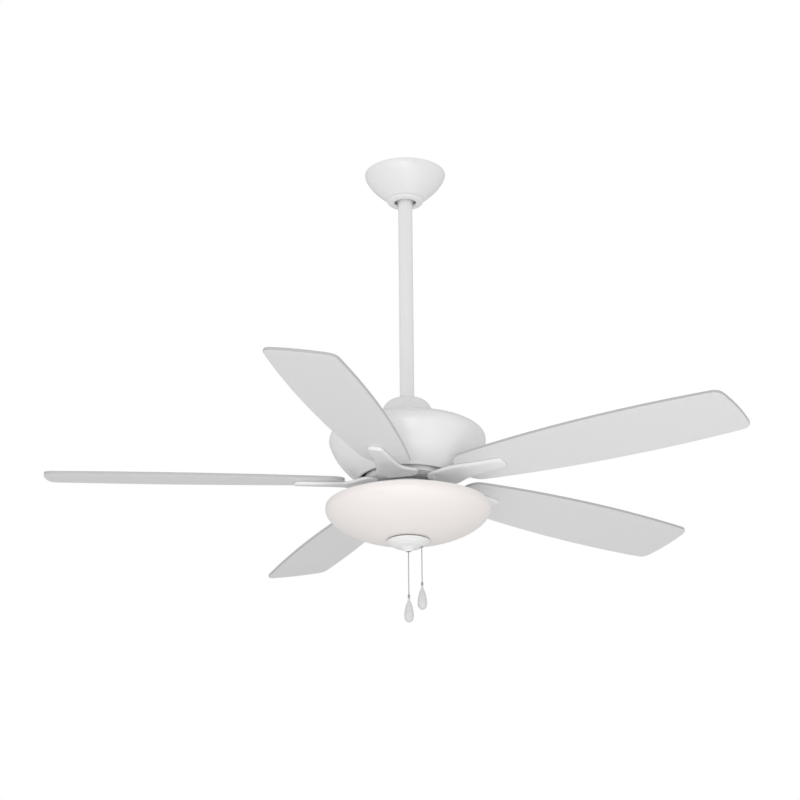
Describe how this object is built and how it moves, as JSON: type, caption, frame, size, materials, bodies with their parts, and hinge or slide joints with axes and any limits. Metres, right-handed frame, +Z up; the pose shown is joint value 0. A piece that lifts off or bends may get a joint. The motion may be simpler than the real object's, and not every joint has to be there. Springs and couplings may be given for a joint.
{
  "type": "ceiling fan with light",
  "caption": "White ceiling fan with a bowl light: bell canopy, long downrod, rounded motor housing, pitched blades on cast arms, opal glass bowl and two pull chains.",
  "frame": {"origin": "centre of the hanger bracket's top face, where it meets the ceiling", "axes": "+Z up towards the ceiling, the fan hangs along -Z; +X along the two box screws, the speed chain on the +X side; -Y is the side seen first"},
  "size_m": [1.2387, 1.2784, 0.881],
  "materials": {
    "white_paint": "satin white powder coat",
    "blade_board": "white laminated board, satin",
    "zinc_steel": "zinc plated steel",
    "white_screw": "painted screw heads",
    "turned_steel": "turned and ground steel",
    "lamination": "stacked sheet steel",
    "copper_wire": "enamelled copper wire",
    "pan_steel": "grey coated steel",
    "black_plastic": "moulded, fine texture",
    "wire_plastic": "moulded wire connectors and sleeves",
    "ball_plastic": "moulded white",
    "opal_glass": "frosted opal white",
    "clear_gasket": "soft washer",
    "lamp_glass": "frosted lamp globe",
    "socket_white": "glazed lamp holder",
    "chain_nickel": "nickel plated beads",
    "fob_white": "translucent moulded white"
  },
  "bodies": {
    "ceiling": {"hanger_bracket": "zinc_steel", "canopy": "white_paint", "canopy_ring": "white_paint", "mount_screws": "zinc_steel", "wire_splices": "wire_plastic"},
    "fan_body": {"hanger_ball": "ball_plastic", "cross_pin": "zinc_steel", "set_screws": "zinc_steel", "downrod": "white_paint", "motor_coupler": "zinc_steel", "clevis_pin": "zinc_steel", "pin_clip": "zinc_steel", "coupling_cover": "white_paint", "motor_housing": "white_paint", "backing_plate": "zinc_steel", "hanger_screws": "zinc_steel", "motor_shaft": "turned_steel", "stator_core": "lamination", "stator_windings": "copper_wire", "switch_plate": "white_paint", "shaft_nut": "zinc_steel", "switch_cup": "white_paint", "reverse_switch": "black_plastic", "capacitor": "black_plastic", "speed_switch": "black_plastic", "light_switch": "black_plastic", "light_pan": "pan_steel", "pan_screws": "zinc_steel", "centre_stem": "zinc_steel", "lamp_holders": "socket_white", "lamps": "lamp_glass", "glass_bowl": "opal_glass", "bowl_gasket": "clear_gasket", "finial_cap": "white_paint"},
    "rotor": {"motor_bearings": "turned_steel", "rotor_ring": "lamination", "rotor_upper_case": "white_paint", "rotor_lower_case": "white_paint", "case_screws": "zinc_steel", "blade_1": "blade_board", "blade_2": "blade_board", "blade_3": "blade_board", "blade_4": "blade_board", "blade_5": "blade_board", "blade_iron_1": "white_paint", "blade_iron_2": "white_paint", "blade_iron_3": "white_paint", "blade_iron_4": "white_paint", "blade_iron_5": "white_paint", "iron_screws": "white_screw", "blade_screws": "white_screw"},
    "light_pull": {"light_chain_upper": "chain_nickel"},
    "light_swing": {"light_chain": "chain_nickel", "light_chain_ferrule": "chain_nickel", "light_fob": "fob_white"},
    "speed_pull": {"speed_chain_upper": "chain_nickel"},
    "speed_swing": {"speed_chain": "chain_nickel", "speed_chain_ferrule": "chain_nickel", "speed_fob": "fob_white"},
    "reverse_slide": {"reverse_slider": "black_plastic"}
  },
  "joints": [
    {"name": "hanger_tilt", "type": "hinge", "parent": "ceiling", "child": "fan_body", "pos_m": [0, 0, -0.031], "axis": [1, 0, 0], "range_deg": [-12, 12]},
    {"name": "rotor_spin", "type": "hinge", "parent": "fan_body", "child": "rotor", "pos_m": [0, 0, -0.616], "axis": [0, 0, 1], "continuous": true},
    {"name": "light_pull", "type": "slide", "parent": "fan_body", "child": "light_pull", "axis": [0, 0, -1], "range_m": [0, 0.01], "stiffness_N_per_m": 250, "springref_m": -0.008},
    {"name": "light_swing", "type": "hinge", "parent": "light_pull", "child": "light_swing", "pos_m": [0, 0, -0.75], "axis": [1, 0, 0], "range_deg": [-50, 50]},
    {"name": "speed_pull", "type": "slide", "parent": "fan_body", "child": "speed_pull", "axis": [0, 0, -1], "range_m": [0, 0.01], "stiffness_N_per_m": 250, "springref_m": -0.008},
    {"name": "speed_swing", "type": "hinge", "parent": "speed_pull", "child": "speed_swing", "pos_m": [0.024, 0, -0.7412], "axis": [1, 0, 0], "range_deg": [-50, 50]},
    {"name": "reverse_slide", "type": "slide", "parent": "fan_body", "child": "reverse_slide", "axis": [-1, 0, 0], "range_m": [0, 0.005]}
  ]
}
